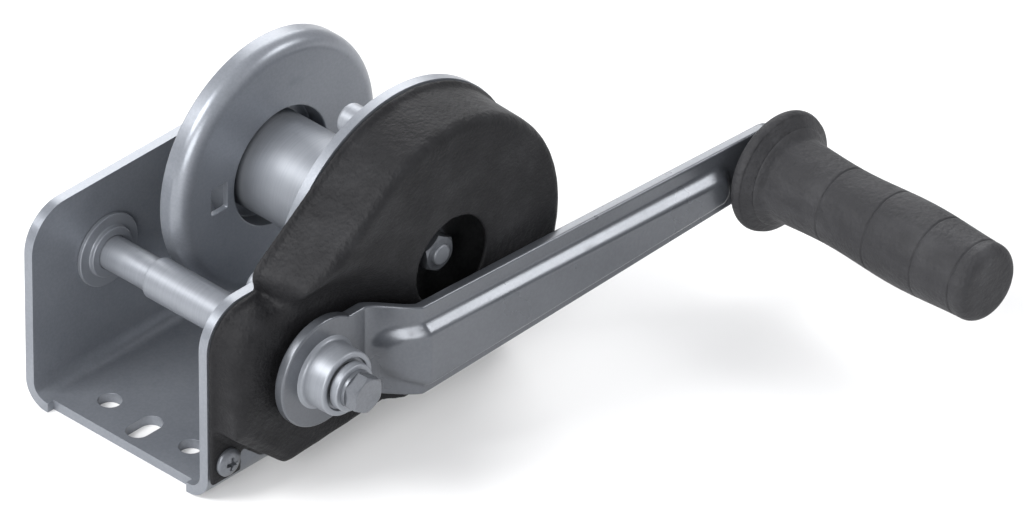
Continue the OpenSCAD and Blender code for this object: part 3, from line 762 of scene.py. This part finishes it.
def screwTree(head):  # one head on each given point, each turned by chance
    tree, given = startTree("cover_screws", {"Seed": 3, "Spin": 1.57})
    source = addNode(tree, "GeometryNodeObjectInfo", {}, {"Object": head})
    chance = addNode(tree, "FunctionNodeRandomValue", {"data_type": "FLOAT"})
    tree.links.new(given["Seed"].socket, chance.inputs["Seed"])
    spin = Flow(tree, chance.outputs[1]) * given["Spin"]
    outward = addNode(tree, "FunctionNodeEulerToRotation", {},
                      [vector(tree, math.pi / 2, 0.0, 0.0)])
    spun = addNode(tree, "FunctionNodeEulerToRotation", {}, [vector(tree, 0.0, 0.0, spin)])
    both = addNode(tree, "FunctionNodeRotateRotation", {"rotation_space": "LOCAL"},
                   [outward.outputs[0], spun.outputs[0]])
    spread = addNode(tree, "GeometryNodeInstanceOnPoints", {},
                     {"Points": given["Geometry"], "Instance": source.outputs["Geometry"],
                      "Rotation": both.outputs[0]})
    endTree(tree, spread.outputs[0], fastenerSteel)
    return tree


def makeScrews(cfg):
    head = bpy.data.objects.new("screw_head", screwHeadMesh(cfg))
    spots = []
    for node in ("cover_screw_front", "cover_screw_back"):
        low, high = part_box(node)
        spots.append(((low.x + high.x) / 2, low.y + cfg["seat"] * mm, (low.z + high.z) / 2))
    mesh = bpy.data.meshes.new("screw_points")
    mesh.from_pydata(spots, [], [])
    given = {"Seed": cfg["seed"], "Spin": cfg["spin"]}
    piece = grow("cover_screws", screwTree(head), given, mesh)
    shadeSmooth(piece.data, 40)
    standFor(piece, "cover_screw_front", "cover_screw_back")
    bpy.data.objects.remove(head)


gripSizes = {"barrel": 15.8, "guard": 23.6, "guardThick": 5.0, "rimRound": 0.8, "neck": 12.6,
             "neckLength": 4.0, "shoulder": 0.97, "flare": 18.6, "flareEnd": 8.0, "fillet": 5.0,
             "waist": 0.7, "waistLength": 11.0, "waistShift": 1.7, "endRound": 4.5,
             "groove": 0.45, "grooveWidth": 0.4, "grooves": 3, "firstGroove": 35.0,
             "pitch": 23.6, "lastGroove": 7.0, "segments": 96, "rings": 700}


def grooveAt(a, spot, given):
    off = (a - spot) / given["Groove width"]
    return given["Groove"] * (0.0 - off * off).maths("EXPONENT")


def gripTree(grooves):  # rings along a line, each with a radius from its place
    tree, given = startTree("grip_barrel", {
        "Length": 0.104, "Root": 0.004, "Barrel": 0.0158, "Guard": 0.0236, "Guard thick": 0.005,
        "Rim round": 0.8, "Neck": 0.0126, "Shoulder": 0.97, "Flare": 0.0186,
        "Flare end": 0.008, "Fillet": 0.005, "Waist": 0.0007, "Waist length": 0.011,
        "Waist shift": 1.7, "End round": 0.0045, "Groove": 0.00045, "Groove width": 0.0004,
        "First groove": 0.035, "Groove pitch": 0.0236, "Last groove": 0.093, "Rings": 700,
        "Segments": 96})
    line = addNode(tree, "GeometryNodeCurvePrimitiveLine")
    tree.links.new(vector(tree, 0.0, 0.0, given["Length"].socket), line.inputs["End"])
    rings = addNode(tree, "GeometryNodeResampleCurve", {}, {"Curve": line.outputs[0],
                                                           "Count": given["Rings"]})
    place = addNode(tree, "GeometryNodeInputPosition").outputs[0]
    height = Flow(tree, addNode(tree, "ShaderNodeSeparateXYZ", {}, [place]).outputs[2])
    a = height - given["Root"]  # distance beyond the guard's back face
    shoulder = given["Guard"] * given["Shoulder"]
    along = (a - given["Guard thick"]) / (given["Flare end"] - given["Guard thick"])
    flare = shoulder - along * (shoulder - given["Flare"])
    settle = a.step(given["Flare end"], given["Flare end"] + given["Fillet"])
    waist = (a / given["Waist length"] - given["Waist shift"]).maths("SINE") * given["Waist"]
    barrel = given["Barrel"] - waist + (given["Flare"] - given["Barrel"]) * (1 - settle) ** 2.0
    pastRim = (a - given["Guard thick"]).maths("GREATER_THAN", 0.0)
    onFlare = 1 - (a - given["Flare end"]).maths("GREATER_THAN", 0.0)
    half = given["Guard thick"] / 2
    rimPlace = ((a - half) / half).maths("MINIMUM", 1.0).maths("MAXIMUM", -1.0)
    rimFall = 1 - (1 - rimPlace * rimPlace).maths("SQRT")
    rim = given["Guard"] - half * given["Rim round"] * rimFall
    beyondRim = onFlare * flare + (1 - onFlare) * barrel
    beyondNeck = pastRim * beyondRim + (1 - pastRim) * rim
    onNeck = a.maths("LESS_THAN", 0.0)
    radius = onNeck * given["Neck"] + (1 - onNeck) * beyondNeck
    for k in range(grooves):
        spot = given["First groove"] + given["Groove pitch"] * float(k)
        radius = radius - grooveAt(a, spot, given)
    radius = radius - grooveAt(a, given["Last groove"], given)
    left = (given["Length"] - height) / given["End round"]  # to the rounded end
    rounding = (1 - left.maths("MINIMUM", 1.0)).maths("MAXIMUM", 0.0)
    fall = 1 - (1 - rounding * rounding).maths("MAXIMUM", 0.0).maths("SQRT")
    radius = radius - given["End round"] * fall
    widths = addNode(tree, "GeometryNodeSetCurveRadius", {}, {"Curve": rings.outputs[0],
                                                             "Radius": radius})
    circle = addNode(tree, "GeometryNodeCurvePrimitiveCircle", {},
                     {"Resolution": given["Segments"], "Radius": 1.0})
    swept = addNode(tree, "GeometryNodeCurveToMesh", {},
                    {"Curve": widths.outputs[0], "Profile Curve": circle.outputs[0],
                     "Fill Caps": True})
    read = addNode(tree, "GeometryNodeInputRadius")
    tree.links.new(read.outputs[0], swept.inputs["Scale"])
    endTree(tree, swept.outputs[0], gripBlack)
    return tree


def makeGrip(cfg):
    low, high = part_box("grip")
    length = high.y - low.y
    root = cfg["neckLength"] * mm
    given = {"Length": length, "Root": root, "Barrel": cfg["barrel"] * mm,
             "Guard": cfg["guard"] * mm, "Guard thick": cfg["guardThick"] * mm,
             "Rim round": cfg["rimRound"], "Neck": cfg["neck"] * mm,
             "Shoulder": cfg["shoulder"], "Flare": cfg["flare"] * mm,
             "Flare end": cfg["flareEnd"] * mm, "Fillet": cfg["fillet"] * mm,
             "Waist": cfg["waist"] * mm, "Waist length": cfg["waistLength"] * mm,
             "Waist shift": cfg["waistShift"], "End round": cfg["endRound"] * mm,
             "Groove": cfg["groove"] * mm, "Groove width": cfg["grooveWidth"] * mm,
             "First groove": cfg["firstGroove"] * mm, "Groove pitch": cfg["pitch"] * mm,
             "Last groove": length - root - cfg["lastGroove"] * mm,
             "Rings": cfg["rings"], "Segments": cfg["segments"]}
    piece = grow("grip_moulding", gripTree(cfg["grooves"]), given)
    placeMesh(piece, Vector((gripAxis.x, high.y, gripAxis.z)))
    tidyNormals(piece.data)
    shadeSmooth(piece.data, 55)
    standFor(piece, "grip")


makeWasher(washerSizes)
makeScrews(screwSizes)
makeGrip(gripSizes)
print("grown pieces made")


# stage

lamps = {  # place, size, watts
    "back": ((1.5, 1.4, 1.4), 1.6, 38),
    "key": ((-1.5, 0.7, 1.7), 1.0, 52),
    "front": ((-2.1, -1.0, 1.0), 1.2, 40),
    "side": ((1.67, -1.45, 1.56), 0.7, 22),
}
makeCamera(stageSizes)
makeWorld()
for name, (place, size, power) in lamps.items():
    addLamp(name, place, size, power)
floorMesh = bpy.data.meshes.new("floor")
half = stageSizes["floorSize"] / 2
floorCorners = [(-half, -half, 0), (half, -half, 0), (half, half, 0), (-half, half, 0)]
floorMesh.from_pydata(floorCorners, [], [(0, 1, 2, 3)])
floorMesh.materials.append(floorMaterial())
floor = bpy.data.objects.new("floor", floorMesh)
bpy.context.scene.collection.objects.link(floor)
bpy.context.scene.view_settings.view_transform = "Standard"
